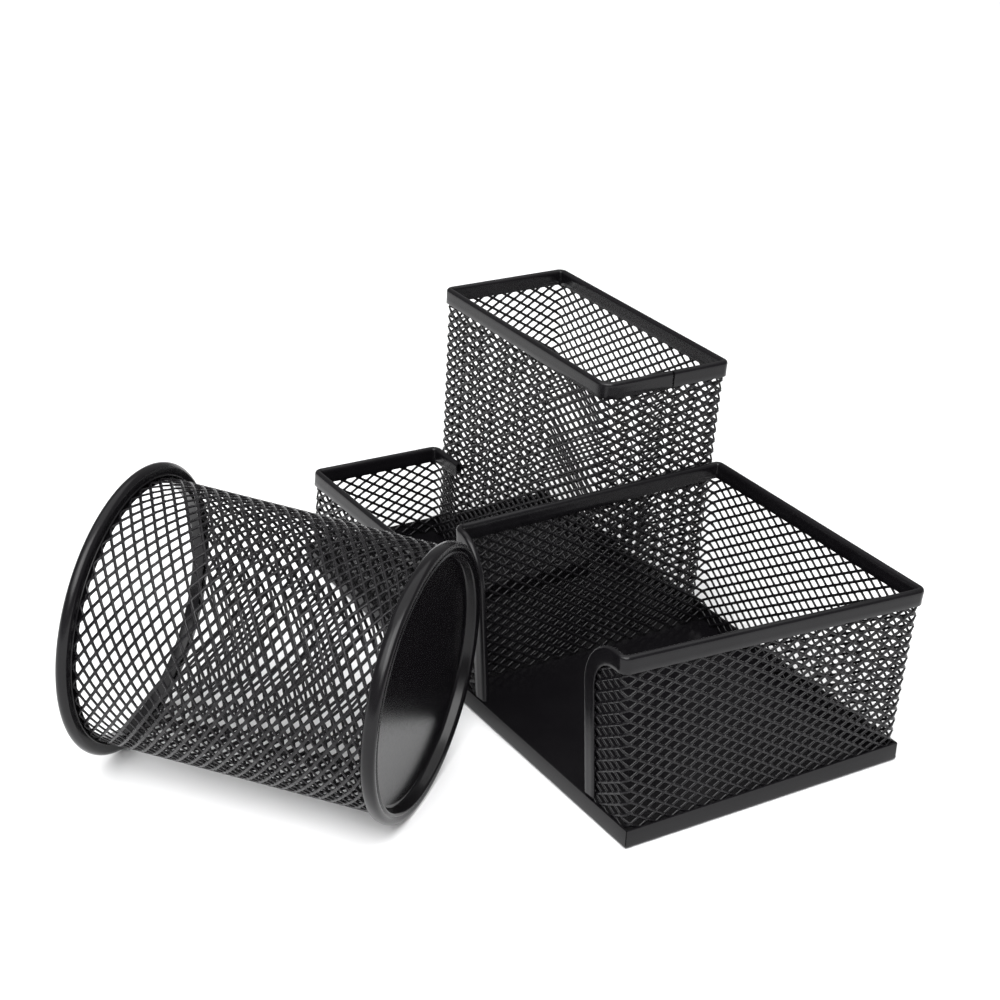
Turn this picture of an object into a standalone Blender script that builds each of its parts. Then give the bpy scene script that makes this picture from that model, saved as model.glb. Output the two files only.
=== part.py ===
"""Mesh desk organizer set: a three-compartment organizer and a round pen cup.

The organizer stands on the desk with its open memo front towards -Y.  X runs
along that front, towards the memo compartment, and +Z is up.  The origin is
the middle of the base pan's underside.  The pen cup lies on its side in front
of the organizer, its mouth pointing away from the memo compartment.
"""

import math

import bmesh
import bpy
from mathutils import Matrix, Vector

MM = 0.001

# ---- sheet metal -----------------------------------------------------------
SHEET = 0.8          # base pan and mesh sheet thickness
GAP = 0.3            # running gap between pieces that touch
STRIP_HALF = 1.2     # half the width of a folded rim strip
STRIP_LEG = 5.6      # height of a folded rim strip
STRIP_T = 0.5        # wall of the folded strip
MESH_TUCK = 1.7      # how far the mesh edge sits below the fold's crest

# ---- base pan --------------------------------------------------------------
PAN_HALF_X = 102.5
PAN_HALF_Y = 52.0
SKIRT_H = 6.4
PAN_CORNER_R = 1.3
PAN_BEND_R = 0.7

# ---- walls: middle surface of each mesh sheet, at the floor and at the top --
FLOOR_Z = SHEET + GAP
BASE_X = PAN_HALF_X - SHEET - GAP - SHEET / 2
BASE_Y = PAN_HALF_Y - SHEET - GAP - SHEET / 2

MEMO_TOP = 61.7
MEMO_BASE_LEFT = 1.4
MEMO_RETURN_BASE = (22.0, 21.0)   # front returns at the floor: left, right
MEMO_RETURN_TOP = (15.0, 19.6)    # and at the rim
MEMO_ARCS = ((11.6, 16.5), (16.0, 17.5))   # rounded shoulders: along, and down
MEMO_CORNER_R = (2.4, 1.7, 1.7, 1.9)  # front left, back left, back right, front right

PEN_TOP = 98.3
PEN_FRONT_Y = 3.5
PEN_CORNER_R = (1.6, 3.9, 1.5, 2.0)   # from the front left corner, round to the right
PEN_SEAM_Y = 30.0                 # butt joint of the tall rim
PEN_SEAM_GAP = 0.4

CLIP_TOP = 36.0
CLIP_CORNER_R = (2.4, 1.8, 2.4)
CLIP_BACK_Y = 1.2
CLIP_RIGHT_X = -0.6
CLIP_RETURN = 17.0                # short tab against the pen wall, left end

# ---- pen cup ---------------------------------------------------------------
CUP_LENGTH = 96.2
CUP_MOUTH_R = 45.4                # outside of the mouth bead
CUP_BASE_R = 42.2                 # outside of the base lip
CUP_BEAD = 1.9                    # bead radius at the mouth
CUP_WALL_BASE_R = 40.1            # outside of the mesh near the base
CUP_WALL_MOUTH_R = 41.1           # outside of the mesh near the mouth
CUP_FOOT = 1.3                    # how far the base lip reaches past the sleeve's datum
CUP_RECESS = 3.6                  # how deep the base disc is set in behind the lip
CUP_DRAFT = 14.0                  # slope of the recess wall, degrees
CUP_YAW = 218.6                   # heading of the axis, base to mouth
CUP_TILT = 1.96                   # rise of the axis towards the mouth
CUP_POS = (54.72, -92.71, 42.19)  # centre of the base lip's plane
CUP_SIDES = 72

# ---- colours ---------------------------------------------------------------
BLACK_SHEET = (0.026, 0.025, 0.028, 1.0)
BLACK_RIM = (0.030, 0.029, 0.032, 1.0)
BLACK_MESH = (0.034, 0.033, 0.036, 1.0)


def clear_scene():
    for obj in list(bpy.data.objects):
        bpy.data.objects.remove(obj, do_unlink=True)


def material(name, colour, roughness, metallic):
    mat = bpy.data.materials.new(name)
    mat.use_nodes = True
    shader = mat.node_tree.nodes["Principled BSDF"]
    shader.inputs["Base Color"].default_value = colour
    shader.inputs["Roughness"].default_value = roughness
    shader.inputs["Metallic"].default_value = metallic
    return mat


def finish_mesh(name, bm, mat, parent=None, angle=35.0):
    """Close the books on a bmesh: outward faces, metres, smooth shading."""
    bmesh.ops.recalc_face_normals(bm, faces=bm.faces)
    if bm.calc_volume(signed=True) < 0:
        bmesh.ops.reverse_faces(bm, faces=bm.faces)
    bmesh.ops.scale(bm, vec=(MM, MM, MM), verts=bm.verts)
    mesh = bpy.data.meshes.new(name)
    bm.to_mesh(mesh)
    bm.free()
    mesh.shade_smooth()
    mesh.set_sharp_from_angle(angle=math.radians(angle))
    obj = bpy.data.objects.new(name, mesh)
    bpy.context.scene.collection.objects.link(obj)
    mesh.materials.append(mat)
    if parent is not None:
        obj.parent = parent
    return obj


# ---------------------------------------------------------------------------
# plan outlines
# ---------------------------------------------------------------------------

def plan_elements(corners, radii, closed):
    """Straight runs and corner arcs through the corners, as callables.

    Each element is (length, f) where f(t) gives the plan point at t in 0..1.
    """
    count = len(corners)
    pts = [Vector(c) for c in corners]
    cuts = []
    for i in range(count):
        if not closed and i in (0, count - 1):
            cuts.append((pts[i], pts[i], None, 0.0, 0.0, 0.0))
            continue
        a, b, c = pts[i - 1], pts[i], pts[(i + 1) % count]
        u, v = (a - b).normalized(), (c - b).normalized()
        half = 0.5 * u.angle(v)
        reach = radii[i] / math.tan(half)
        centre = b + (u + v).normalized() * (radii[i] / math.sin(half))
        start, end = b + u * reach, b + v * reach
        a0 = math.atan2(*(start - centre).yx)
        a1 = math.atan2(*(end - centre).yx)
        sweep = (a1 - a0 + math.pi) % (2 * math.pi) - math.pi
        cuts.append((start, end, centre, a0, sweep, radii[i]))
    elements = []

    def run(p, q):
        return ((q - p).length, lambda t, p=p, q=q: p.lerp(q, t))

    def arc(cut):
        _, _, centre, a0, sweep, r = cut
        return (abs(sweep) * r, lambda t: centre + r * Vector(
            (math.cos(a0 + sweep * t), math.sin(a0 + sweep * t))))

    last = count if closed else count - 1
    for i in range(last):
        j = (i + 1) % count
        elements.append(run(cuts[i][1], cuts[j][0]))
        if cuts[j][2] is not None:
            elements.append(arc(cuts[j]))
    return elements


class Wall:
    """A ruled sheet between a plan outline at the floor and one at the top."""

    def __init__(self, base, top, radii, height, closed=False, side=1.0):
        self.base = plan_elements(base, radii, closed)
        self.top = plan_elements(top, radii, closed)
        self.height = height
        self.closed = closed
        self.side = side                    # +1: the outside is on the right
        self.marks = [0.0]
        for length, _ in self.top:
            self.marks.append(self.marks[-1] + length)
        self.total = self.marks[-1]

    def plan(self, s):
        if self.closed:
            s = s % self.total
        s = min(max(s, 0.0), self.total)
        k = 0
        while k < len(self.top) - 1 and s > self.marks[k + 1]:
            k += 1
        t = (s - self.marks[k]) / max(self.top[k][0], 1e-9)
        return self.base[k][1](t), self.top[k][1](t)

    def point(self, s, z):
        low, high = self.plan(s)
        t = (z - FLOOR_Z) / (self.height - FLOOR_Z)
        p = low.lerp(high, t)
        return Vector((p.x, p.y, z))

    def normal(self, s, z):
        step = 0.02
        s0, s1 = s - step, s + step
        if not self.closed:
            s0, s1 = max(s0, 0.0), min(s1, self.total)
        along = self.point(s1, z) - self.point(s0, z)
        up = self.point(s, z + 1.0) - self.point(s, z - 1.0)
        return along.cross(up).normalized() * self.side

    def stations(self, run_step=60.0, arc_parts=5):
        """Values of s that follow the straight runs and the corner arcs."""
        out = []
        for k, (length, _) in enumerate(self.top):
            corner = k % 2 == 1
            parts = arc_parts if corner else max(1, math.ceil(length / run_step))
            out += [self.marks[k] + length * i / parts for i in range(parts)]
        if not self.closed:
            out.append(self.total)
        return out


def wall_solid(name, wall, stations, top_of, mat):
    """A sheet of even thickness on the wall surface, from the floor up."""
    bm = bmesh.new()
    rings = []
    for s in stations:
        top = top_of(s)
        ring = []
        for z, side in ((FLOOR_Z, 1), (top, 1), (top, -1), (FLOOR_Z, -1)):
            n = wall.normal(s, 0.5 * (FLOOR_Z + top))
            n = Vector((n.x, n.y, 0.0)).normalized()
            ring.append(bm.verts.new(wall.point(s, z) + n * side * SHEET / 2))
        rings.append(ring)
    pairs = list(zip(rings, rings[1:]))
    if wall.closed:
        pairs.append((rings[-1], rings[0]))
    for a, b in pairs:
        for i in range(4):
            j = (i + 1) % 4
            bm.faces.new((a[i], a[j], b[j], b[i]))
    if not wall.closed:
        bm.faces.new(rings[0])
        bm.faces.new(list(reversed(rings[-1])))
    bmesh.ops.triangulate(bm, faces=bm.faces)
    return finish_mesh(name, bm, mat)


def strip_profile():
    """Cross-section of the folded strip: (across the sheet, down into it)."""
    h, leg, t = STRIP_HALF, STRIP_LEG, STRIP_T
    outer = [(h, leg), (h, 1.15), (h * 0.86, 0.55), (h * 0.5, 0.14), (0.0, 0.0),
             (-h * 0.5, 0.14), (-h * 0.86, 0.55), (-h, 1.15), (-h, leg)]
    inner = [(-h + t, leg), (-h + t, 1.35), (0.0, 1.0), (h - t, 1.35), (h - t, leg)]
    return outer + inner


def strip_solid(name, wall, route, mat, closed=False):
    """The folded strip swept along an edge of the wall.

    route holds (s, z) for the fold's crest, in order along the edge.
    """
    bm = bmesh.new()
    pts = [wall.point(s, z) for s, z in route]
    count = len(pts)
    rings = []
    for i, (s, z) in enumerate(route):
        a = pts[i - 1] if (i or closed) else pts[i]
        b = pts[(i + 1) % count] if (i < count - 1 or closed) else pts[i]
        tangent = (b - a).normalized()
        n = wall.normal(s, z)
        n = (n - tangent * n.dot(tangent)).normalized()
        into = tangent.cross(n).normalized() * wall.side
        rings.append([bm.verts.new(pts[i] + n * x + into * y)
                      for x, y in strip_profile()])
    size = len(rings[0])
    pairs = list(zip(rings, rings[1:]))
    if closed:
        pairs.append((rings[-1], rings[0]))
    for a, b in pairs:
        for i in range(size):
            j = (i + 1) % size
            bm.faces.new((a[i], a[j], b[j], b[i]))
    if not closed:
        bm.faces.new(rings[0])
        bm.faces.new(list(reversed(rings[-1])))
    bmesh.ops.triangulate(bm, faces=bm.faces)
    return finish_mesh(name, bm, mat)


# ---------------------------------------------------------------------------
# organizer
# ---------------------------------------------------------------------------

def base_pan(mat):
    """Floor sheet with an upturned skirt; the bend is rounded outside."""
    hx, hy = PAN_HALF_X, PAN_HALF_Y

    def ring(bm, inset, z):
        r = max(PAN_CORNER_R - inset, 0.35)
        x, y = hx - inset, hy - inset
        pts = []
        for cx, cy, a in ((x - r, y - r, 0), (-x + r, y - r, 90),
                          (-x + r, -y + r, 180), (x - r, -y + r, 270)):
            for k in range(5):
                t = math.radians(a + 90 * k / 4)
                pts.append(bm.verts.new((cx + r * math.cos(t), cy + r * math.sin(t), z)))
        return pts

    b = PAN_BEND_R
    levels = [(b, 0.0), (0.35 * b, 0.2 * b), (0.0, b), (0.0, SKIRT_H - 0.15),
              (0.15, SKIRT_H), (SHEET - 0.15, SKIRT_H), (SHEET, SKIRT_H - 0.15),
              (SHEET, SHEET)]
    bm = bmesh.new()
    rings = [ring(bm, inset, z) for inset, z in levels]
    for a, c in zip(rings, rings[1:]):
        for i in range(len(a)):
            j = (i + 1) % len(a)
            bm.faces.new((a[i], a[j], c[j], c[i]))
    bm.faces.new(list(reversed(rings[0])))
    bm.faces.new(rings[-1])
    return finish_mesh("base_pan", bm, mat)


def memo_wall():
    """Sheet round three sides of the memo compartment with two front returns.

    The sides lean in a little towards the cut-out front and flare at the back.
    """
    y, x = BASE_Y, BASE_X
    left, right = MEMO_RETURN_BASE
    base = [(MEMO_BASE_LEFT + left, -y), (MEMO_BASE_LEFT, -y), (MEMO_BASE_LEFT, y),
            (x, y), (x, -y), (x - right, -y)]
    left, right = MEMO_RETURN_TOP
    top = [(3.4 + left, -52.8), (3.4, -52.8), (0.4, 52.4),
           (103.0, 52.4), (95.7, -52.8), (95.7 - right, -52.8)]
    radii = [0, *MEMO_CORNER_R, 0]
    return Wall(base, top, radii, MEMO_TOP, side=-1.0)


def shoulder(wall, s, inset=0.0):
    """Top edge of the memo sheet at s: level, with a rounded shoulder at each end."""
    run, drop = MEMO_ARCS[0] if s < wall.total / 2 else MEMO_ARCS[1]
    d = min(s, wall.total - s)
    top = wall.height - inset
    run, drop = run - inset, drop - inset
    d = d - inset
    if d >= run:
        return top
    d = max(d, 0.0)
    return top - drop + drop * math.sqrt(max(0.0, 1 - ((run - d) / run) ** 2))


def memo_pieces(mesh_mat, rim_mat):
    wall = memo_wall()
    tuck = MESH_TUCK
    ends = []
    for run, _ in MEMO_ARCS:
        ends.append([tuck + (run - tuck) * (1 - math.cos(math.pi / 2 * k / 8))
                     for k in range(9)])
    stations = ends[0] + [wall.total - s for s in ends[1]]
    stations += [s for s in wall.stations()
                 if MEMO_ARCS[0][0] < s < wall.total - MEMO_ARCS[1][0]]
    wall_solid("memo_mesh", wall, sorted(stations),
               lambda s: shoulder(wall, s, tuck), mesh_mat)

    foot = SKIRT_H + 3 * GAP
    arcs = []
    for run, drop in MEMO_ARCS:
        low = wall.height - drop
        arcs.append([(0.0, foot), (0.0, 0.5 * (foot + low))] + [
            (run * (1 - math.cos(a)), low + drop * math.sin(a))
            for a in (math.pi / 2 * k / 12 for k in range(13))])
    route = arcs[0]
    route += [(s, wall.height) for s in wall.stations()
              if MEMO_ARCS[0][0] + 0.3 < s < wall.total - MEMO_ARCS[1][0] - 0.3]
    route += [(wall.total - s, z) for s, z in reversed(arcs[1])]
    strip_solid("memo_rim", wall, route, rim_mat)


def pen_wall():
    """Tall tapered box of mesh in the back corner."""
    base = [(-BASE_X, PEN_FRONT_Y - 0.4), (-2.9, PEN_FRONT_Y - 0.4),
            (-2.9, BASE_Y), (-BASE_X, BASE_Y)]
    top = [(-100.7, PEN_FRONT_Y), (-0.7, PEN_FRONT_Y), (-0.7, 52.2), (-100.7, 52.2)]
    return Wall(base, top, PEN_CORNER_R, PEN_TOP, closed=True)


def pen_pieces(mesh_mat, rim_mat):
    wall = pen_wall()
    wall_solid("pen_mesh", wall, wall.stations(), lambda s: wall.height - MESH_TUCK, mesh_mat)
    # the strip starts and ends at the butt joint on the side facing the memo box
    run = wall.marks[2]
    seam = run + (PEN_SEAM_Y - wall.point(run, wall.height).y)
    stations = [s for s in wall.stations(arc_parts=6)]
    route = [seam + PEN_SEAM_GAP / 2]
    route += sorted(s if s > seam else s + wall.total for s in stations)
    route.append(seam + wall.total - PEN_SEAM_GAP / 2)
    strip_solid("pen_rim", wall, [(s, wall.height) for s in route], rim_mat)


def clip_wall():
    """Low sheet with a right end, a front, a left end and a short back tab."""
    base = [(CLIP_RIGHT_X, CLIP_BACK_Y), (CLIP_RIGHT_X, -BASE_Y),
            (-BASE_X, -BASE_Y), (-BASE_X, CLIP_BACK_Y), (-BASE_X + CLIP_RETURN, CLIP_BACK_Y)]
    top = [(CLIP_RIGHT_X, CLIP_BACK_Y), (CLIP_RIGHT_X, -47.3),
           (-102.7, -47.8), (-101.8, CLIP_BACK_Y), (-101.8 + CLIP_RETURN, CLIP_BACK_Y)]
    radii = [0, *CLIP_CORNER_R, 0]
    return Wall(base, top, radii, CLIP_TOP, side=-1.0)


def clip_pieces(mesh_mat, rim_mat):
    wall = clip_wall()
    wall_solid("clip_mesh", wall, wall.stations(), lambda s: wall.height - MESH_TUCK, mesh_mat)
    route = [(s, wall.height) for s in wall.stations(arc_parts=6)]
    strip_solid("clip_rim", wall, route, rim_mat)


# ---------------------------------------------------------------------------
# pen cup, built upright on its base lip and then laid down by its parent
# ---------------------------------------------------------------------------

def turned(name, profile, mat, parent, closed_on_axis=False):
    """A turned solid from (radius, height) points.

    With closed_on_axis the first and last points lie on the axis.
    """
    bm = bmesh.new()
    rings = []
    for r, a in profile:
        if r < 1e-6:
            rings.append([bm.verts.new((0.0, 0.0, a))])
            continue
        rings.append([bm.verts.new((r * math.cos(2 * math.pi * k / CUP_SIDES),
                                    r * math.sin(2 * math.pi * k / CUP_SIDES), a))
                      for k in range(CUP_SIDES)])
    pairs = list(zip(rings, rings[1:]))
    if not closed_on_axis:
        pairs.append((rings[-1], rings[0]))
    for a, b in pairs:
        for i in range(CUP_SIDES):
            j = (i + 1) % CUP_SIDES
            if len(a) == 1:
                bm.faces.new((a[0], b[j], b[i]))
            elif len(b) == 1:
                bm.faces.new((a[i], a[j], b[0]))
            else:
                bm.faces.new((a[i], a[j], b[j], b[i]))
    return finish_mesh(name, bm, mat, parent)


def wall_radius(a):
    """Outside radius of the cup's mesh at a height above the base lip."""
    t = (a - 4.0) / (CUP_LENGTH - 8.0)
    return CUP_WALL_BASE_R + (CUP_WALL_MOUTH_R - CUP_WALL_BASE_R) * t


def cup_pieces(mesh_mat, rim_mat, sheet_mat):
    frame = bpy.data.objects.new("cup_frame", None)
    bpy.context.scene.collection.objects.link(frame)
    yaw, tilt = math.radians(CUP_YAW), math.radians(CUP_TILT)
    axis = Vector((math.cos(yaw) * math.cos(tilt), math.sin(yaw) * math.cos(tilt),
                   math.sin(tilt)))
    side = Vector((0, 0, 1)).cross(axis).normalized()
    up = axis.cross(side)
    turn = Matrix((side, up, axis)).transposed().to_4x4()
    frame.matrix_world = Matrix.Translation(Vector(CUP_POS) * MM) @ turn

    # tapered mesh sleeve
    low, high = 1.4, CUP_LENGTH - 1.9
    turned("cup_mesh", [(wall_radius(low), low), (wall_radius(high), high),
                        (wall_radius(high) - SHEET, high), (wall_radius(low) - SHEET, low)],
           mesh_mat, frame)

    # mouth: rolled bead outside, with a leg each side of the mesh
    top = CUP_LENGTH
    bead = CUP_BEAD
    centre = CUP_MOUTH_R - bead
    out = wall_radius(top) + GAP
    inn = wall_radius(top - 6.0) - SHEET - GAP
    prof = [(inn, top - 4.2), (inn, top - 1.3), (out, top - 1.3), (out, top - 4.6),
            (out + 0.45, top - 4.6), (out + 0.5, top - 3.75)]
    prof += [(centre + bead * math.cos(a), top - bead + bead * math.sin(a))
             for a in (math.radians(-80 + 17 * k) for k in range(11))]
    prof += [(inn + 0.25, top), (inn - 0.3, top - 0.2), (inn - 0.5, top - 0.8),
             (inn - 0.5, top - 4.2)]
    turned("cup_mouth_rim", prof, rim_mat, frame)

    # base: recessed disc, wall and rolled lip with a channel for the mesh
    slot_out = wall_radius(2.6) + GAP
    slot_in = wall_radius(1.4) - SHEET - GAP
    wall_in = slot_in - 0.75
    fillet = 1.3
    crest, disc = -CUP_FOOT, CUP_RECESS - CUP_FOOT
    draft = math.radians(CUP_DRAFT)
    deep = disc - fillet * (1 - math.sin(draft))
    centre = wall_in - math.tan(draft) * (deep - crest - 1.0) - fillet * math.cos(draft)
    prof = [(0.0, disc), (centre, disc)]
    prof += [(centre + fillet * math.sin(a), disc - fillet + fillet * math.cos(a))
             for a in ((math.pi / 2 - draft) * k / 4 for k in range(1, 5))]
    prof += [(wall_in, crest + 1.0), (wall_in + 0.25, crest + 0.35), (wall_in + 0.8, crest),
             (CUP_BASE_R - 1.3, crest), (CUP_BASE_R - 0.55, crest + 0.3),
             (CUP_BASE_R - 0.12, crest + 0.95), (CUP_BASE_R, 0.5), (CUP_BASE_R - 0.05, 1.3),
             (CUP_BASE_R - 0.3, 2.2), (slot_out + 0.95, 2.85), (slot_out + 0.5, 3.2),
             (slot_out, 3.2), (slot_out, 1.05), (slot_in, 1.05), (slot_in, disc),
             (slot_in - 0.5, disc + 0.6), (slot_in - 1.4, disc + 0.8), (0.0, disc + 0.8)]
    turned("cup_base", prof, sheet_mat, frame, closed_on_axis=True)


def main():
    clear_scene()
    sheet = material("powder_coat_sheet", BLACK_SHEET, 0.42, 0.0)
    rim = material("powder_coat_rim", BLACK_RIM, 0.36, 0.0)
    mesh = material("powder_coat_mesh", BLACK_MESH, 0.48, 0.0)
    base_pan(sheet)
    memo_pieces(mesh, rim)
    pen_pieces(mesh, rim)
    clip_pieces(mesh, rim)
    cup_pieces(mesh, rim, sheet)
    bpy.context.view_layer.update()


main()
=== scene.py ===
"""Looks of the mesh desk organizer set: expanded metal, folded rims, pressed
pan, the round pen cup, their powder coat, a pale floor and soft light."""

import math

import bmesh
import bpy
import numpy as np
from mathutils import Matrix, Vector


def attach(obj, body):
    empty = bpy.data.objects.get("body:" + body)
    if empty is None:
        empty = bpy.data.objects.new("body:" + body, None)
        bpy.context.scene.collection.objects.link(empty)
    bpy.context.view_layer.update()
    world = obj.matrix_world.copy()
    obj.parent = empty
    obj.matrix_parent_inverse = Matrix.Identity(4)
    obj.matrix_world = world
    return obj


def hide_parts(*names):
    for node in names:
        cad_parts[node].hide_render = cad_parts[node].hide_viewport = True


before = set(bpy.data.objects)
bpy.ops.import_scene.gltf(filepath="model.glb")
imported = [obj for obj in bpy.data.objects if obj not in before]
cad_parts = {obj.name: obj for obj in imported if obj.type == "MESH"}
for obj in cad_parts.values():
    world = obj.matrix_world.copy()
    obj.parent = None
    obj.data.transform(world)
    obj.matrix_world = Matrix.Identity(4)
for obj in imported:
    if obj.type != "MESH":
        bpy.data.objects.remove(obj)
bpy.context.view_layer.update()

MM = 0.001

# ---- sheet metal, as in the frame (mm) --------------------------------------
SHEET = 0.8
GAP = 0.3
STRIP_HALF = 1.2
STRIP_LEG = 5.6
STRIP_T = 0.5
PAN_HALF_X, PAN_HALF_Y, SKIRT_H = 102.5, 52.0, 6.4
FLOOR_Z = SHEET + GAP
BASE_X = PAN_HALF_X - SHEET - GAP - SHEET / 2
BASE_Y = PAN_HALF_Y - SHEET - GAP - SHEET / 2

MEMO_TOP = 61.7
MEMO_BASE_LEFT = 1.4
MEMO_RETURN_BASE = (22.0, 21.0)
MEMO_RETURN_TOP = (15.0, 19.6)
MEMO_ARCS = ((11.6, 16.5), (16.0, 17.5))
MEMO_CORNER_R = (2.4, 1.7, 1.7, 1.9)
PEN_TOP = 98.3
PEN_FRONT_Y = 3.5
PEN_CORNER_R = (1.6, 3.9, 1.5, 2.0)
PEN_SEAM_Y = 30.0
PEN_SEAM_GAP = 0.7
PEN_LAP_Y = 23.5                  # where the mesh sheet starts and laps itself
CLIP_TOP = 36.0
CLIP_CORNER_R = (2.4, 1.8, 2.4)
CLIP_BACK_Y = 1.2
CLIP_RIGHT_X = -0.6
CLIP_RETURN = 17.0

CUP_LENGTH = 96.2
CUP_MOUTH_R = 45.4
CUP_BASE_R = 42.2
CUP_BEAD = 1.9
CUP_WALL_BASE_R = 40.1
CUP_WALL_MOUTH_R = 41.1
CUP_FOOT = 1.3
CUP_RECESS = 3.6
CUP_DRAFT = 14.0
CUP_YAW = 218.6
CUP_TILT = 1.96
CUP_POS = (54.72, -92.71, 42.19)

# ---- expanded metal (mm) ----------------------------------------------------
LONG_WAY = 6.15                   # diamond pitch along the wall
SHORT_WAY = 3.75                  # diamond pitch up the wall
STRAND = 0.90                     # strand width
BOND_RISE = 0.60                  # half height of a bond
BOND = 0.49                       # half length of a bond
THICK = 0.70                      # coated thickness
TWIST = -0.06                     # lean of the bonds: above zero, their outer face looks down


# =============================================================================
# small mesh helpers
# =============================================================================

def make_object(name, verts, faces, mat, body, node, angle=None):
    """Mesh object in the row frame from mm coordinates, riding on its body."""
    mesh = bpy.data.meshes.new(name)
    mesh.from_pydata((np.asarray(verts, float) * MM).tolist(), [], faces)
    bm = bmesh.new()
    bm.from_mesh(mesh)
    bmesh.ops.recalc_face_normals(bm, faces=bm.faces)
    if bm.calc_volume(signed=True) < 0:
        bmesh.ops.reverse_faces(bm, faces=bm.faces)
    bm.to_mesh(mesh)
    bm.free()
    mesh.shade_smooth()
    if angle is not None:
        mesh.set_sharp_from_angle(angle=math.radians(angle))
    obj = bpy.data.objects.new(name, mesh)
    bpy.context.scene.collection.objects.link(obj)
    mesh.materials.append(mat)
    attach(obj, body)
    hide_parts(node)
    return obj


def plan_elements(corners, radii, closed):
    """Straight runs and corner arcs through the corners: (length, f(t))."""
    count = len(corners)
    pts = [Vector(c) for c in corners]
    cuts = []
    for i in range(count):
        if not closed and i in (0, count - 1):
            cuts.append((pts[i], pts[i], None, 0.0, 0.0, 0.0))
            continue
        a, b, c = pts[i - 1], pts[i], pts[(i + 1) % count]
        u, v = (a - b).normalized(), (c - b).normalized()
        half = 0.5 * u.angle(v)
        reach = radii[i] / math.tan(half)
        centre = b + (u + v).normalized() * (radii[i] / math.sin(half))
        start, end = b + u * reach, b + v * reach
        a0 = math.atan2(*(start - centre).yx)
        a1 = math.atan2(*(end - centre).yx)
        sweep = (a1 - a0 + math.pi) % (2 * math.pi) - math.pi
        cuts.append((start, end, centre, a0, sweep, radii[i]))
    elements = []

    def run(p, q):
        return ((q - p).length, lambda t, p=p, q=q: p.lerp(q, t))

    def arc(cut):
        _, _, centre, a0, sweep, r = cut
        return (abs(sweep) * r, lambda t: centre + r * Vector(
            (math.cos(a0 + sweep * t), math.sin(a0 + sweep * t))))

    last = count if closed else count - 1
    for i in range(last):
        j = (i + 1) % count
        elements.append(run(cuts[i][1], cuts[j][0]))
        if cuts[j][2] is not None:
            elements.append(arc(cuts[j]))
    return elements


class Wall:
    """A ruled sheet between a plan outline at the floor and one at the top."""

    def __init__(self, base, top, radii, height, closed=False, side=1.0):
        self.height, self.closed, self.side = height, closed, side
        low, high, s = [], [], []
        self.marks = [0.0]
        for (_, fb), (length, ft) in zip(plan_elements(base, radii, closed),
                                         plan_elements(top, radii, closed)):
            parts = max(4, math.ceil(length / 0.15))
            for i in range(parts):
                t = i / parts
                s.append(self.marks[-1] + length * t)
                low.append(tuple(fb(t)))
                high.append(tuple(ft(t)))
            self.marks.append(self.marks[-1] + length)
            end = (tuple(fb(1.0)), tuple(ft(1.0)))
        s.append(self.marks[-1])
        low.append(end[0])
        high.append(end[1])
        self.total = self.marks[-1]
        self.s, self.low, self.high = map(np.array, (s, low, high))

    def point(self, s, z):
        s, z = np.broadcast_arrays(np.asarray(s, float), np.asarray(z, float))
        if self.closed:
            s = np.mod(s, self.total)
        t = (z - FLOOR_Z) / (self.height - FLOOR_Z)
        out = np.empty(s.shape + (3,))
        for k in range(2):
            low = np.interp(s, self.s, self.low[:, k])
            high = np.interp(s, self.s, self.high[:, k])
            out[..., k] = low + (high - low) * t
        out[..., 2] = z
        return out

    def normal(self, s, z):
        s, z = np.broadcast_arrays(np.asarray(s, float), np.asarray(z, float))
        step = 0.12
        s0, s1 = s - step, s + step
        if not self.closed:
            s0, s1 = np.maximum(s0, 0.0), np.minimum(s1, self.total)
        along = self.point(s1, z) - self.point(s0, z)
        up = self.point(s, z + 1.0) - self.point(s, z - 1.0)
        n = np.cross(along, up)
        return n / np.linalg.norm(n, axis=-1, keepdims=True) * self.side

    def stations(self, run_step=4.0, arc_parts=8):
        out = []
        for k in range(len(self.marks) - 1):
            length = self.marks[k + 1] - self.marks[k]
            parts = arc_parts if k % 2 == 1 else max(1, math.ceil(length / run_step))
            out += [self.marks[k] + length * i / parts for i in range(parts)]
        if not self.closed:
            out.append(self.total)
        return out


def memo_wall():
    y, x = BASE_Y, BASE_X
    left, right = MEMO_RETURN_BASE
    base = [(MEMO_BASE_LEFT + left, -y), (MEMO_BASE_LEFT, -y), (MEMO_BASE_LEFT, y),
            (x, y), (x, -y), (x - right, -y)]
    left, right = MEMO_RETURN_TOP
    top = [(3.4 + left, -52.8), (3.4, -52.8), (0.4, 52.4),
           (103.0, 52.4), (95.7, -52.8), (95.7 - right, -52.8)]
    return Wall(base, top, [0, *MEMO_CORNER_R, 0], MEMO_TOP, side=-1.0)


def pen_wall():
    base = [(-BASE_X, PEN_FRONT_Y - 0.4), (-2.9, PEN_FRONT_Y - 0.4),
            (-2.9, BASE_Y), (-BASE_X, BASE_Y)]
    top = [(-100.7, PEN_FRONT_Y), (-0.7, PEN_FRONT_Y), (-0.7, 52.2), (-100.7, 52.2)]
    return Wall(base, top, PEN_CORNER_R, PEN_TOP, closed=True)


def clip_wall():
    base = [(CLIP_RIGHT_X, CLIP_BACK_Y), (CLIP_RIGHT_X, -BASE_Y),
            (-BASE_X, -BASE_Y), (-BASE_X, CLIP_BACK_Y), (-BASE_X + CLIP_RETURN, CLIP_BACK_Y)]
    top = [(CLIP_RIGHT_X, CLIP_BACK_Y), (CLIP_RIGHT_X, -47.3),
           (-102.7, -47.8), (-101.8, CLIP_BACK_Y), (-101.8 + CLIP_RETURN, CLIP_BACK_Y)]
    return Wall(base, top, [0, *CLIP_CORNER_R, 0], CLIP_TOP, side=-1.0)


# =============================================================================
# expanded metal
# =============================================================================

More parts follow.
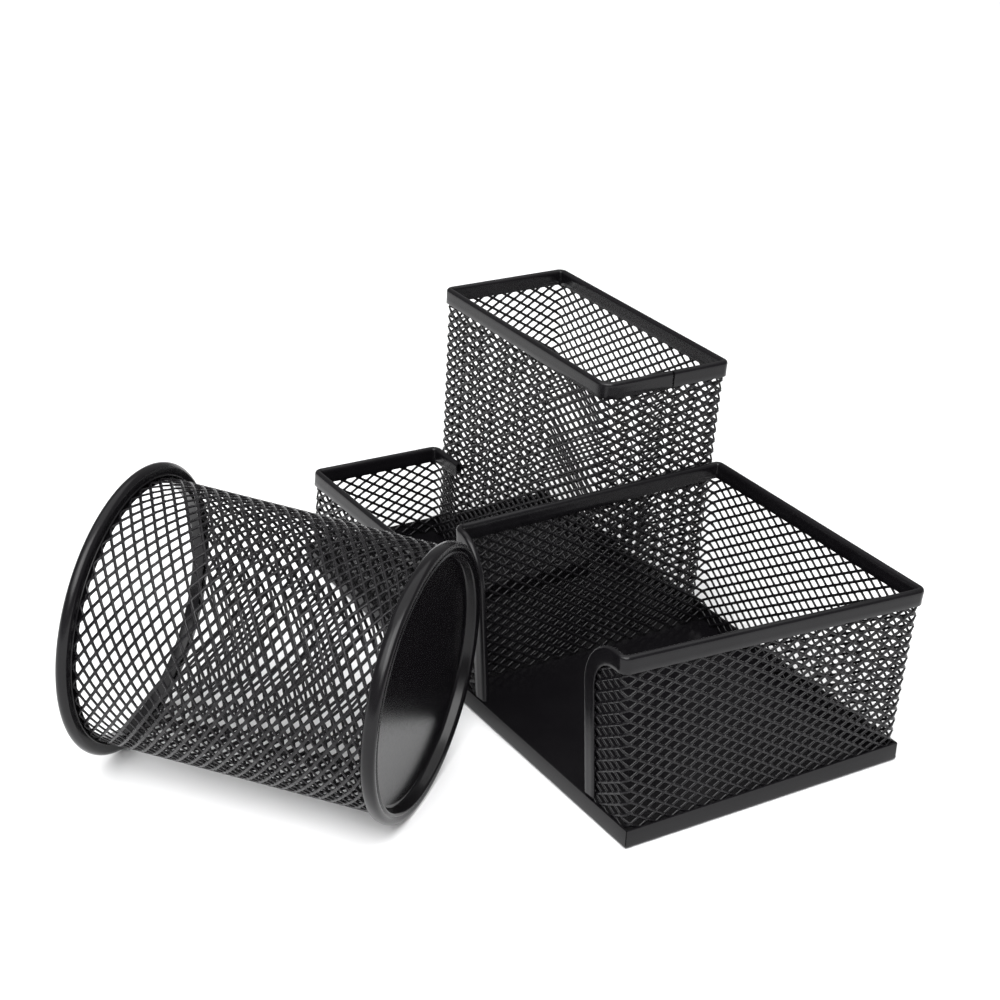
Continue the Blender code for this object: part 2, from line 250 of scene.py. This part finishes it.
def diamond_ring(a, b):
    """One diamond cell, 12 points each: the strand centre lines round it and the
    edge of its opening, as (along, up, lean), the lean being out of the sheet."""
    w, h, r = STRAND, BOND, BOND_RISE
    slope = (b / 2 - r) / (a / 2 - 2 * h)
    edge = 0.5 * w * math.sqrt(1 + slope * slope)

    def on_edge(u):
        return r / 2 + (a / 2 - h - u) * slope - edge

    tip = a / 2 - h + (r / 2 - edge) / slope
    u1, u2 = tip - 0.30, 0.30
    t1 = (a / 2 - h - u1) / (a / 2 - 2 * h)
    outer = [(a / 2, 0.0, 0.0), (a / 2 - h, r / 2, TWIST), (h, b / 2 - r / 2, -TWIST)]
    inner = [(tip - 0.07, 0.0, 0.0),
             (u1, on_edge(u1), -2 * t1 * TWIST),
             (u2, min(on_edge(u2), b / 2 - r - 0.05), -2 * TWIST)]
    top_outer, top_inner = (0.0, b / 2, 0.0), (0.0, b / 2 - r, -2 * TWIST)

    def quadrants(three, top):
        r, p, q = three
        ring = [r, p, q, top,
                (-q[0], q[1], q[2]), (-p[0], p[1], p[2]), (-r[0], 0.0, r[2]),
                (-p[0], -p[1], -p[2]), (-q[0], -q[1], -q[2]), (0.0, -top[1], -top[2]),
                (q[0], -q[1], -q[2]), (p[0], -p[1], -p[2])]
        return np.array(ring)

    return quadrants(outer, top_outer), quadrants(inner, top_inner)


def expanded_sheet(columns, rows, a, b, keep=None):
    """Vertices (along, up, out) and faces of an expanded sheet.

    Cells sit where column + row is even; bonds sit where it is odd, from
    column 0 and row 0.  Units are mm in the plane of the sheet.
    """
    i, j = np.meshgrid(np.arange(1, columns), np.arange(1, rows), indexing="ij")
    pick = (i + j) % 2 == 0
    i, j = i[pick], j[pick]
    cu, cv = i * a / 2, j * b / 2
    if keep is not None:
        good = keep(cu, cv)
        cu, cv = cu[good], cv[good]
    outer, inner = diamond_ring(a, b)
    ease = 0.16

    def place(ring, side, lift):
        p = np.empty((len(cu), 12, 3))
        p[..., 0] = cu[:, None] + ring[None, :, 0]
        p[..., 1] = cv[:, None] + ring[None, :, 1]
        p[..., 2] = ring[None, :, 2] + side * (THICK / 2 - lift)
        return p

    layers = np.stack([place(outer, 1, 0), place(inner, 1, ease),
                       place(inner, -1, ease), place(outer, -1, 0)], axis=1)
    flat = layers.reshape(-1, 3)
    key = np.round(flat * 400 + 0.123).astype(np.int64)
    _, first, back = np.unique(key, axis=0, return_index=True, return_inverse=True)
    verts = flat[first]
    index = back.reshape(len(cu), 4, 12)
    nxt = np.roll(index, -1, axis=2)
    quads = []
    for m in range(3):
        q = np.stack([index[:, m], nxt[:, m], nxt[:, m + 1], index[:, m + 1]], axis=-1)
        quads.append(q.reshape(-1, 4))
    # close the sheet along its cut edges
    e = np.stack([index[:, 0], nxt[:, 0], nxt[:, 3], index[:, 3]], axis=-1).reshape(-1, 4)
    edge_key = np.sort(e[:, :2], axis=1)
    _, inv, count = np.unique(edge_key, axis=0, return_inverse=True, return_counts=True)
    lone = count[inv.ravel()] == 1
    quads.append(e[lone][:, ::-1])
    return verts, np.concatenate(quads)


def squeeze(d, start=5.0, reach=1.5, tuck=1.7):
    """Distance from the crest, packed so the sheet ends inside the folded rim."""
    return np.where(d < start, tuck + (d + reach) * (start - tuck) / (start + reach), d)


def wall_mesh(name, wall, mat, body, node, crest=None, first=0.0, lap=0.0, phase=0.0,
              lift=0.3):
    """Expanded metal on a wall, its top edge inside the folded rim.

    crest, when given, is a polyline of (s, z) the sheet is held inside of.
    lap is how far the sheet overlaps its own start, which then lies outside.
    """
    span = wall.total + lap
    columns = round(span / (LONG_WAY / 2))
    if not wall.closed:
        columns = int(span / (LONG_WAY / 2)) + 3
    a = LONG_WAY if not wall.closed else 2 * span / columns
    rows = int((wall.height + 4 - FLOOR_Z) / (SHORT_WAY / 2)) + 1
    offset = 0.0 if wall.closed else -1.5 * phase

    def s_of(u):
        return first + u + offset

    def z_of(v):
        return FLOOR_Z + lift + v

    if crest is None:
        def keep(u, v):
            ok = z_of(v) + SHORT_WAY / 2 < wall.height + 1.5
            if not wall.closed:
                ok &= (s_of(u) - a / 2 > -0.2) & (s_of(u) + a / 2 < wall.total + 0.2)
            return ok
    else:
        line = np.array(crest)
        seg = np.diff(line, axis=0)
        seg_len = np.linalg.norm(seg, axis=1)
        inward = np.stack([seg[:, 1], -seg[:, 0]], axis=1) / seg_len[:, None]

        def inset(s, z):
            """Signed distance inside the crest line, with its foot and normal."""
            p = np.stack([s, z], axis=-1)
            best = np.full(len(s), 1e9)
            foot = np.zeros_like(p)
            norm = np.zeros_like(p)
            for k in range(len(seg)):
                t = np.clip(((p - line[k]) @ seg[k]) / seg_len[k] ** 2, 0, 1)
                f = line[k] + t[:, None] * seg[k]
                dist = np.linalg.norm(p - f, axis=1)
                near = dist < best
                best[near] = dist[near]
                foot[near] = f[near]
                norm[near] = inward[k]
            sign = np.sign(np.einsum("ij,ij->i", p - foot, norm))
            return best * np.where(sign == 0, 1, sign), foot, norm

        def keep(u, v):
            ok = np.ones(len(u), bool)
            for du, dv in ((a / 2, 0), (-a / 2, 0), (0, SHORT_WAY / 2), (0, -SHORT_WAY / 2)):
                d, _, _ = inset(s_of(u + du), z_of(v + dv))
                ok &= d > -1.4
            return ok

    verts, quads = expanded_sheet(columns, rows, a, SHORT_WAY, keep)
    u, v, n = verts.T
    s, z = s_of(u), z_of(v)
    if crest is None:
        z = wall.height - squeeze(wall.height - z)
    else:
        d, foot, norm = inset(s, z)
        close = d < 5.0
        moved = foot + norm * squeeze(d)[:, None]
        s = np.where(close, moved[:, 0], s)
        z = np.where(close, moved[:, 1], z)
    if lap:
        # the last stretch climbs out over the first one
        x = np.clip((u - (wall.total - 9.0)) / 8.0, 0, 1)
        n = n + 1.02 * x * x * (3 - 2 * x) - 0.36 * np.clip(1 - u / 12.0, 0, 1) \
            - 0.36 * x * x * (3 - 2 * x)
    xyz = wall.point(s, z) + wall.normal(s, z) * n[:, None]
    return make_object(name, xyz, quads.tolist(), mat, body, node)


# =============================================================================
# folded rims
# =============================================================================

def strip_sections():
    """Outer and inner points of the folded strip, paired: (across, into)."""
    h, leg, t = STRIP_HALF, STRIP_LEG, STRIP_T
    outer = [(h - 0.12, leg), (h - 0.01, leg - 0.14), (h - 0.05, 3.7), (h - 0.02, 2.0)]
    inner = [(h - t + 0.05, leg), (h - t, leg - 0.14), (h - t, 3.7), (h - t, 2.0)]
    for k in range(9):
        q = math.radians(22.5 * k)
        outer.append((h * math.cos(q), h - h * math.sin(q)))
        inner.append(((h - t) * math.cos(q), h - (h - t) * math.sin(q)))
    outer += [(-x, y) for x, y in reversed(outer[:4])]
    inner += [(-x, y) for x, y in reversed(inner[:4])]
    return outer, inner


def wave(s, seed):
    """Slow unevenness of hand-crimped strip, in mm."""
    return (0.045 * np.sin(s / 7.3 + seed) + 0.03 * np.sin(s / 3.1 + 2.1 * seed)
            + 0.02 * np.sin(s / 1.7 + 4.7 * seed))


def strip(name, wall, route, mat, body, node, seed):
    outer, inner = strip_sections()
    route = np.array(route)
    pts = wall.point(route[:, 0], route[:, 1])
    nor = wall.normal(route[:, 0], route[:, 1])
    tan = np.empty_like(pts)
    tan[1:-1] = pts[2:] - pts[:-2]
    tan[0], tan[-1] = pts[1] - pts[0], pts[-1] - pts[-2]
    tan /= np.linalg.norm(tan, axis=1, keepdims=True)
    nor = nor - tan * np.einsum("ij,ij->i", nor, tan)[:, None]
    nor /= np.linalg.norm(nor, axis=1, keepdims=True)
    into = np.cross(tan, nor) * wall.side
    run = np.concatenate([[0], np.cumsum(np.linalg.norm(np.diff(pts, axis=0), axis=1))])
    profile = outer + inner[::-1]
    size = len(profile)
    verts = []
    for k, (x, y) in enumerate(profile):
        low = min(max((y - 1.2) / 3.0, 0.0), 1.0)
        sway = -np.abs(wave(run, seed + (1.0 if x > 0 else 2.3))) * low * (1 if x > 0 else -1)
        verts.append(pts + nor * (x + sway)[:, None] + into * y)
    verts = np.stack(verts, axis=1).reshape(-1, 3)
    faces = []
    for r in range(len(route) - 1):
        for k in range(size):
            m = (k + 1) % size
            faces.append((r * size + k, r * size + m, (r + 1) * size + m, (r + 1) * size + k))
    count = len(outer)
    for r in (0, len(route) - 1):
        for k in range(count - 1):
            faces.append((r * size + k, r * size + k + 1,
                          r * size + size - 2 - k, r * size + size - 1 - k))
    return make_object(name, verts, faces, mat, body, node, angle=48)


def memo_route(wall, parts=18):
    foot = SKIRT_H + 3 * GAP
    arcs = []
    for run, drop in MEMO_ARCS:
        low = wall.height - drop
        leg = [(0.0, foot + (low - foot) * k / 10) for k in range(10)]
        arcs.append(leg + [(run * (1 - math.cos(q)), low + drop * math.sin(q))
                           for q in (math.pi / 2 * k / parts for k in range(parts + 1))])
    route = arcs[0]
    route += [(s, wall.height) for s in wall.stations()
              if MEMO_ARCS[0][0] + 0.3 < s < wall.total - MEMO_ARCS[1][0] - 0.3]
    route += [(wall.total - s, z) for s, z in reversed(arcs[1])]
    return route


def pen_route(wall):
    run = wall.marks[2]
    seam = run + (PEN_SEAM_Y - wall.point(run, wall.height)[1])
    route = [seam + PEN_SEAM_GAP / 2]
    route += sorted(s if s > seam else s + wall.total for s in wall.stations())
    route.append(seam + wall.total - PEN_SEAM_GAP / 2)
    return [(s, wall.height) for s in route]


# =============================================================================
# base pan
# =============================================================================

def base_pan(mat):
    """Pressed floor with an upturned skirt, mitred and butted at the corners."""
    hx, hy = PAN_HALF_X, PAN_HALF_Y
    edge = 0.2

    def ring(inset, z, notch):
        """Outline with a small V at each corner where the two skirts meet."""
        x, y = hx - inset, hy - inset
        r = max(0.55 - 0.4 * inset, 0.2)
        cut = 0.16 * notch
        pts = []
        for sx, sy in ((1, 1), (-1, 1), (-1, -1), (1, -1)):
            # corner seen from its two faces, walked counter-clockwise
            c = (sx * x, sy * y)
            along_x = [(c[0] - sx * d, c[1] - sy * e)
                       for d, e in ((6.0, 0), (r, 0), (0.45 * r, 0.06 * r), (0.14 * r + cut, 0.16 * r))]
            along_y = [(c[0] - sx * e, c[1] - sy * d)
                       for d, e in ((6.0, 0), (r, 0), (0.45 * r, 0.06 * r), (0.14 * r + cut, 0.16 * r))]
            deep = [(c[0] - sx * (0.18 * r + 0.5 * notch), c[1] - sy * (0.18 * r + 0.5 * notch))]
            first, second = (along_y, along_x) if sx * sy > 0 else (along_x, along_y)
            pts += first + deep + second[::-1]
        return [(px, py, z) for px, py in pts]

    bend = 1.1
    levels = [(4.0, 0.0, 0)]
    levels += [(bend * (1 - math.sin(q)), bend * (1 - math.cos(q)), 0)
               for q in (math.radians(18 * k) for k in range(6))]
    levels += [(0.0, 1.5, 0), (0.0, 1.75, 1), (0.0, SKIRT_H - 0.22, 1), (0.06, SKIRT_H - 0.06, 1),
               (0.2, SKIRT_H, 1), (SHEET - 0.2, SKIRT_H, 0), (SHEET - 0.06, SKIRT_H - 0.06, 0),
               (SHEET, SKIRT_H - 0.22, 0), (SHEET, SHEET + 0.7, 0), (SHEET + 0.2, SHEET + 0.2, 0),
               (SHEET + 0.7, SHEET, 0), (5.0, SHEET, 0)]
    rings = [ring(*lv) for lv in levels]
    size = len(rings[0])
    verts = [p for r in rings for p in r]
    faces = []
    for k in range(len(rings) - 1):
        for i in range(size):
            j = (i + 1) % size
            faces.append((k * size + i, k * size + j, (k + 1) * size + j, (k + 1) * size + i))
    faces.append(tuple(reversed(range(size))))
    faces.append(tuple(range((len(rings) - 1) * size, len(rings) * size)))
    return make_object("pan", verts, faces, mat, "organizer", "base_pan", angle=32)


# =============================================================================
# pen cup
# =============================================================================

def cup_matrix():
    yaw, tilt = math.radians(CUP_YAW), math.radians(CUP_TILT)
    axis = Vector((math.cos(yaw) * math.cos(tilt), math.sin(yaw) * math.cos(tilt),
                   math.sin(tilt)))
    side = Vector((0, 0, 1)).cross(axis).normalized()
    up = axis.cross(side)
    return np.array(Matrix((side, up, axis)).transposed()), np.array(CUP_POS)


def in_row(p):
    turn, pos = cup_matrix()
    return np.asarray(p, float) @ turn.T + pos


def turned(name, profile, sides, mat, node, on_axis=False, angle=30):
    verts, rings, faces = [], [], []
    for r, a in profile:
        if r < 1e-6:
            rings.append([len(verts)])
            verts.append((0.0, 0.0, a))
            continue
        rings.append(list(range(len(verts), len(verts) + sides)))
        for k in range(sides):
            q = 2 * math.pi * k / sides
            verts.append((r * math.cos(q), r * math.sin(q), a))
    pairs = list(zip(rings, rings[1:]))
    if not on_axis:
        pairs.append((rings[-1], rings[0]))
    for a, b in pairs:
        for i in range(sides):
            j = (i + 1) % sides
            if len(a) == 1:
                faces.append((a[0], b[j], b[i]))
            elif len(b) == 1:
                faces.append((a[i], a[j], b[0]))
            else:
                faces.append((a[i], a[j], b[j], b[i]))
    return make_object(name, in_row(verts), faces, mat, "cup", node, angle=angle)


def wall_radius(a):
    t = (a - 4.0) / (CUP_LENGTH - 8.0)
    return CUP_WALL_BASE_R + (CUP_WALL_MOUTH_R - CUP_WALL_BASE_R) * t


def cup_pieces(mesh_mat, rim_mat, sheet_mat):
    columns = 84                          # half pitches round the cup
    a = 2 * math.pi * 40.3 / (columns / 2)
    b = SHORT_WAY
    low = 1.15
    rows = round((CUP_LENGTH - 1.0 - low) / (b / 2))
    lap = 2                               # half pitches of overlap at the welded seam
    verts, quads = expanded_sheet(columns + lap, rows, a, b)
    u, v, n = verts.T
    angle = 2 * math.pi * u / (a / 2 * columns) + math.radians(-100.0)
    height = np.interp(v, [0.0, 2 * b, (rows - 2) * b / 2, rows * b / 2],
                       [low, low + 2 * b - 1.0, CUP_LENGTH - 5.3, CUP_LENGTH - 1.7])
    x = np.clip((u - a / 2 * (columns - 4)) / (a * 1.5), 0, 1)
    x = x * x * (3 - 2 * x)
    n = n + 0.5 * x - 0.45 * np.clip(1 - u / (2 * a), 0, 1) * (u < 3 * a)
    r = wall_radius(height) - SHEET / 2 + n
    p = np.stack([r * np.cos(angle), r * np.sin(angle), height], axis=1)
    make_object("cup_sleeve", in_row(p), quads.tolist(), mesh_mat, "cup", "cup_mesh")

    top, bead = CUP_LENGTH, CUP_BEAD
    centre = CUP_MOUTH_R - bead
    out = wall_radius(top) + GAP
    inn = wall_radius(top - 6.0) - SHEET - GAP
    prof = [(inn - 0.05, top - 4.2), (inn, top - 4.0), (inn, top - 1.3), (out, top - 1.3),
            (out, top - 3.95), (out + 0.12, top - 4.05), (out + 0.36, top - 4.03), (out + 0.48, top - 3.9),
            (out + 0.52, top - 3.72)]
    prof += [(centre + bead * math.cos(q), top - bead + bead * math.sin(q))
             for q in (math.radians(-80 + 170 / 18 * k) for k in range(19))]
    prof += [(inn + 0.25, top), (inn - 0.1, top - 0.08), (inn - 0.36, top - 0.3), (inn - 0.5, top - 0.8),
             (inn - 0.5, top - 4.0), (inn - 0.38, top - 4.2)]
    turned("cup_mouth_bead", prof, 168, rim_mat, "cup_mouth_rim")

    slot_out = wall_radius(2.6) + GAP
    slot_in = wall_radius(1.4) - SHEET - GAP
    wall_in = slot_in - 0.75
    fillet = 1.3
    crest, disc = -CUP_FOOT, CUP_RECESS - CUP_FOOT
    draft = math.radians(CUP_DRAFT)
    dish = 0.2                            # the disc is pressed very slightly hollow
    deep = disc - fillet * (1 - math.sin(draft))
    centre = wall_in - math.tan(draft) * (deep - crest - 1.0) - fillet * math.cos(draft)

    def hollow(r):
        return dish * (1 - (r / centre) ** 2)

    prof = [(0.0, disc + dish)]
    prof += [(r, disc + hollow(r)) for r in (9.0, 18.0, 27.0, 32.0, 35.0)]
    prof += [(centre + fillet * math.sin(q), disc - fillet + fillet * math.cos(q))
             for q in ((math.pi / 2 - draft) * k / 8 for k in range(9))]
    prof += [(wall_in, crest + 1.0), (wall_in + 0.06, crest + 0.7), (wall_in + 0.22, crest + 0.38),
             (wall_in + 0.5, crest + 0.13), (wall_in + 0.8, crest + 0.06),
             (wall_in + 1.1, crest + 0.16), (wall_in + 1.35, crest + 0.34),
             (wall_in + 1.6, crest + 0.28), (wall_in + 1.95, crest + 0.06),
             (wall_in + 2.3, crest), (CUP_BASE_R - 1.3, crest + 0.02), (CUP_BASE_R - 0.85, crest + 0.14),
             (CUP_BASE_R - 0.45, crest + 0.4), (CUP_BASE_R - 0.16, crest + 0.85),
             (CUP_BASE_R - 0.03, 0.1), (CUP_BASE_R, 0.6), (CUP_BASE_R - 0.05, 1.3),
             (CUP_BASE_R - 0.16, 1.8), (CUP_BASE_R - 0.33, 2.3), (slot_out + 1.2, 2.65),
             (slot_out + 0.85, 3.0), (slot_out + 0.5, 3.18), (slot_out, 3.2), (slot_out, 1.05),
             (slot_in, 1.05), (slot_in, disc), (slot_in - 0.15, disc + 0.35),
             (slot_in - 0.5, disc + 0.62), (slot_in - 1.2, disc + 0.8), (slot_in - 2.2, disc + 0.84),
             (27.0, disc + 0.8 + hollow(27.0)), (14.0, disc + 0.8 + hollow(14.0)),
             (0.0, disc + 0.8 + dish)]
    turned("cup_foot", prof, 168, sheet_mat, "cup_base", on_axis=True)


# =============================================================================
# powder coat
# =============================================================================

def powder_coat(name, dark, light, rough, bump, grain, patch):
    """Black powder coat: orange-peel bump, faint mottling and uneven gloss."""
    mat = bpy.data.materials.new(name)
    mat.use_nodes = True
    nodes, links = mat.node_tree.nodes, mat.node_tree.links
    shader = nodes["Principled BSDF"]
    shader.inputs["Metallic"].default_value = 0.0
    shader.inputs["IOR"].default_value = 1.5
    shader.inputs["Specular IOR Level"].default_value = 0.24
    where = nodes.new("ShaderNodeTexCoord")

    def noise(scale, detail, roughness=0.5):
        n = nodes.new("ShaderNodeTexNoise")
        n.inputs["Scale"].default_value = scale
        n.inputs["Detail"].default_value = detail
        n.inputs["Roughness"].default_value = roughness
        links.new(where.outputs["Object"], n.inputs["Vector"])
        return n

    mottle = noise(patch, 3.0)
    ramp = nodes.new("ShaderNodeValToRGB")
    ramp.color_ramp.elements[0].position = 0.32
    ramp.color_ramp.elements[0].color = (*dark, 1.0)
    ramp.color_ramp.elements[1].position = 0.70
    ramp.color_ramp.elements[1].color = (*light, 1.0)
    links.new(mottle.outputs["Fac"], ramp.inputs["Fac"])
    links.new(ramp.outputs["Color"], shader.inputs["Base Color"])

    gloss = noise(grain * 0.45, 2.0)
    spread = nodes.new("ShaderNodeMapRange")
    spread.inputs["From Min"].default_value = 0.3
    spread.inputs["From Max"].default_value = 0.7
    spread.inputs["To Min"].default_value = rough - 0.03
    spread.inputs["To Max"].default_value = rough + 0.04
    links.new(gloss.outputs["Fac"], spread.inputs["Value"])
    links.new(spread.outputs["Result"], shader.inputs["Roughness"])

    peel = noise(grain, 2.0, 0.6)
    swell = noise(grain * 0.12, 2.0)
    mix = nodes.new("ShaderNodeMath")
    mix.operation = "MULTIPLY_ADD"
    mix.inputs[1].default_value = 2.2
    links.new(swell.outputs["Fac"], mix.inputs[0])
    links.new(peel.outputs["Fac"], mix.inputs[2])
    relief = nodes.new("ShaderNodeBump")
    relief.inputs["Strength"].default_value = 0.6
    relief.inputs["Distance"].default_value = bump
    links.new(mix.outputs["Value"], relief.inputs["Height"])
    links.new(relief.outputs["Normal"], shader.inputs["Normal"])
    return mat


def pale_floor():
    mat = bpy.data.materials.new("pale_floor")
    mat.use_nodes = True
    shader = mat.node_tree.nodes["Principled BSDF"]
    shader.inputs["Base Color"].default_value = (0.93, 0.93, 0.935, 1.0)
    shader.inputs["Roughness"].default_value = 0.9
    shader.inputs["Specular IOR Level"].default_value = 0.1
    mesh = bpy.data.meshes.new("floor")
    bm = bmesh.new()
    bmesh.ops.create_grid(bm, x_segments=2, y_segments=2, size=30.0)
    bm.to_mesh(mesh)
    bm.free()
    mesh.materials.append(mat)
    obj = bpy.data.objects.new("floor", mesh)
    bpy.context.scene.collection.objects.link(obj)


# =============================================================================
# light and camera
# =============================================================================

def area(name, place, aim, size, power):
    data = bpy.data.lights.new(name, "AREA")
    data.shape = "RECTANGLE"
    data.size, data.size_y = size
    data.energy = power
    obj = bpy.data.objects.new(name, data)
    obj.location = place
    obj.rotation_mode = "QUATERNION"
    obj.rotation_quaternion = (Vector(aim) - Vector(place)).to_track_quat("-Z", "Y")
    bpy.context.scene.collection.objects.link(obj)


def light():
    world = bpy.data.worlds.new("studio")
    bpy.context.scene.world = world
    world.use_nodes = True
    back = world.node_tree.nodes["Background"]
    back.inputs["Color"].default_value = (1.0, 1.0, 1.0, 1.0)
    back.inputs["Strength"].default_value = 0.33
    area("top_box", (-0.10, 0.0, 2.3), (0, 0, 0), (3.2, 3.2), 44.0)
    area("key_box", (1.25, -0.80, 1.90), (0.0, -0.05, 0.0), (1.8, 1.8), 54.0)
    area("front_box", (0.35, -1.35, 1.35), (0, -0.05, 0.05), (1.2, 0.9), 13.0)
    area("fill_box", (1.15, -0.95, 1.15), (0, -0.05, 0.05), (1.0, 1.0), 5.0)
    view = bpy.context.scene.view_settings
    view.view_transform = "Standard"
    view.look = "None"
    view.exposure = 0.0
    view.gamma = 1.0


def camera():
    data = bpy.data.cameras.new("camera")
    data.lens = 74.25
    data.sensor_width = 36.0
    data.clip_start = 0.02
    data.clip_end = 100.0
    obj = bpy.data.objects.new("camera", data)
    bpy.context.scene.collection.objects.link(obj)
    az, el, roll, dist = math.radians(57.13), math.radians(25.49), math.radians(2.89), 0.71662
    aim = Vector((-0.04464, -0.00624, 0.040))
    back = Vector((math.sin(az) * math.cos(el), -math.cos(az) * math.cos(el), math.sin(el)))
    right = (-back).cross(Vector((0, 0, 1))).normalized()
    up = right.cross(-back)
    c, s = math.cos(roll), math.sin(roll)
    right, up = right * c + up * s, up * c - right * s
    turn = Matrix((right, up, back)).transposed().to_4x4()
    obj.matrix_world = Matrix.Translation(aim + back * dist) @ turn
    bpy.context.scene.camera = obj


def main():
    sheet = powder_coat("coat_sheet", (0.0034, 0.0030, 0.0038), (0.0052, 0.0048, 0.0056),
                        0.21, 0.0000025, 2600.0, 45.0)
    rim = powder_coat("coat_rim", (0.0040, 0.0036, 0.0044), (0.0060, 0.0056, 0.0066),
                      0.22, 0.00001, 2600.0, 60.0)
    mesh = powder_coat("coat_mesh", (0.0045, 0.0041, 0.0050), (0.0070, 0.0065, 0.0076),
                       0.26, 0.00001, 3200.0, 90.0)

    memo, pen, clip = memo_wall(), pen_wall(), clip_wall()
    base_pan(sheet)
    fine = [(s, z) for s, z in memo_route(memo)]
    fine = [(0.0, -6.0)] + fine + [(memo.total, -6.0)]
    fine = [p for k, p in enumerate(fine) if k == 0 or p != fine[k - 1]]
    wall_mesh("memo_net", memo, mesh, "organizer", "memo_mesh", crest=fine, phase=1.0)
    run = pen.marks[2]
    start = run + (PEN_LAP_Y - pen.point(run, 50.0)[1])
    wall_mesh("pen_net", pen, mesh, "organizer", "pen_mesh", first=float(start), lap=4.4)
    wall_mesh("clip_net", clip, mesh, "organizer", "clip_mesh")
    strip("memo_fold", memo, memo_route(memo), rim, "organizer", "memo_rim", 0.4)
    strip("pen_fold", pen, pen_route(pen), rim, "organizer", "pen_rim", 1.7)
    strip("clip_fold", clip, [(s, clip.height) for s in clip.stations()], rim,
          "organizer", "clip_rim", 3.1)
    cup_pieces(mesh, rim, sheet)
    pale_floor()
    light()
    camera()

    bpy.context.view_layer.update()


main()
